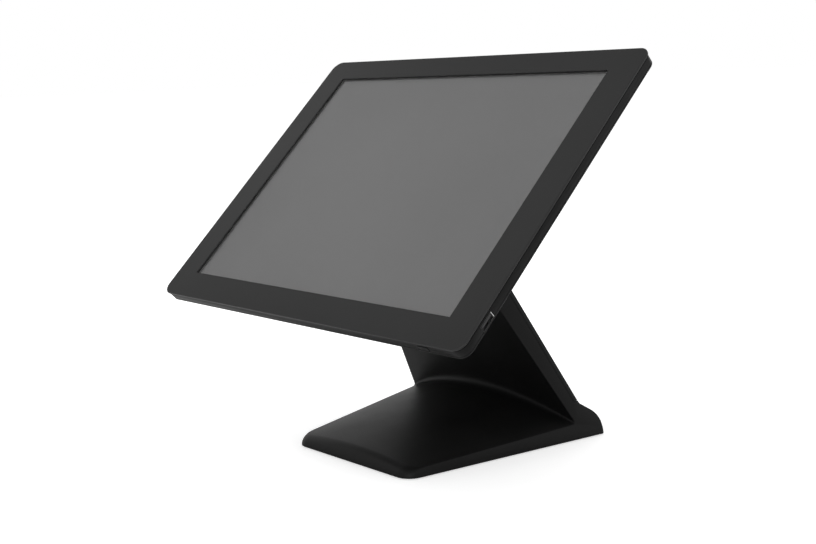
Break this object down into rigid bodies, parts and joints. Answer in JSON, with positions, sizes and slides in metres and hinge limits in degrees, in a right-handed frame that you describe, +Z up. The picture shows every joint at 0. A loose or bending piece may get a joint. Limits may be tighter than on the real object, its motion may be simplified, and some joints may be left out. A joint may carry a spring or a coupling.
{
  "type": "pos touchscreen terminal",
  "caption": "Countertop point-of-sale terminal: a flat touchscreen head that tilts on a leaning neck above a crowned, weighted base.",
  "frame": {"origin": "on the table, under the middle of the terminal's box", "axes": "+X to the right of a person facing the screen, -Y towards that person, +Z up"},
  "size_m": [0.3574, 0.2386, 0.3105],
  "materials": {
    "black_plastic": "fine moulded texture, satin black",
    "frame_plastic": "satin black",
    "touch_glass": "flat glass with a black printed border and an anti-glare face",
    "foam_tape": "matt foam",
    "screen": "dark grey switched-off screen",
    "backlight_sheet": "white diffuser",
    "lcd_metal": "folded sheet",
    "plated_steel": "nickel plate",
    "zinc_steel": "zinc plate",
    "black_steel": "black powder coat",
    "fin_aluminium": "plain",
    "circuit_board": "green solder mask",
    "black_resin": "moulded resin",
    "foot_rubber": "matt"
  },
  "bodies": {
    "stand": {"stand_cover": "black_plastic", "neck_rear_cover": "black_plastic", "bottom_plate": "black_steel", "neck_spine": "zinc_steel", "ballast_weight": "zinc_steel", "foot_1": "foot_rubber", "foot_2": "foot_rubber", "foot_3": "foot_rubber", "foot_4": "foot_rubber", "hinge_shaft": "zinc_steel", "hinge_nut_left": "zinc_steel", "friction_washers_left": "zinc_steel", "hinge_nut_right": "zinc_steel", "friction_washers_right": "zinc_steel", "bottom_screw_1": "zinc_steel", "bottom_screw_2": "zinc_steel", "bottom_screw_3": "zinc_steel", "bottom_screw_4": "zinc_steel", "spine_screw_1": "zinc_steel", "spine_screw_2": "zinc_steel"},
    "head": {"cover_glass": "touch_glass", "glass_tape": "foam_tape", "front_frame": "frame_plastic", "lcd_tray": "lcd_metal", "lcd_cell": "screen", "backlight": "backlight_sheet", "chassis_plate": "zinc_steel", "mainboard": "circuit_board", "processor": "black_resin", "heat_sink": "fin_aluminium", "memory_module": "circuit_board", "solid_state_drive": "black_resin", "wireless_card": "circuit_board", "coin_cell": "zinc_steel", "touch_controller": "circuit_board", "speaker_left": "black_resin", "speaker_right": "black_resin", "dc_inlet": "black_resin", "lan_port": "plated_steel", "usb_port_left": "plated_steel", "usb_port_right": "plated_steel", "video_port": "plated_steel", "drawer_port": "plated_steel", "side_usb_port": "plated_steel", "side_port_board": "circuit_board", "power_switch": "black_resin", "switch_board": "circuit_board", "rear_housing": "black_plastic", "connector_cover": "black_plastic", "head_hinge_plate": "black_steel", "head_screw_1": "zinc_steel", "head_screw_2": "zinc_steel", "head_screw_3": "zinc_steel", "head_screw_4": "zinc_steel", "housing_screw_1": "zinc_steel", "housing_screw_2": "zinc_steel", "housing_screw_3": "zinc_steel", "housing_screw_4": "zinc_steel"},
    "power_button": {"power_button": "frame_plastic"}
  },
  "joints": [
    {"name": "head_tilt", "type": "hinge", "parent": "stand", "child": "head", "pos_m": [0, 0.00456, 0.18], "axis": [-1, 0, 0], "range_deg": [-32, 28]},
    {"name": "power_button_press", "type": "slide", "parent": "head", "child": "power_button", "axis": [0, 0.7337, 0.6794], "range_m": [0, 0.0009], "stiffness_N_per_m": 900, "springref_m": -0.0006}
  ]
}
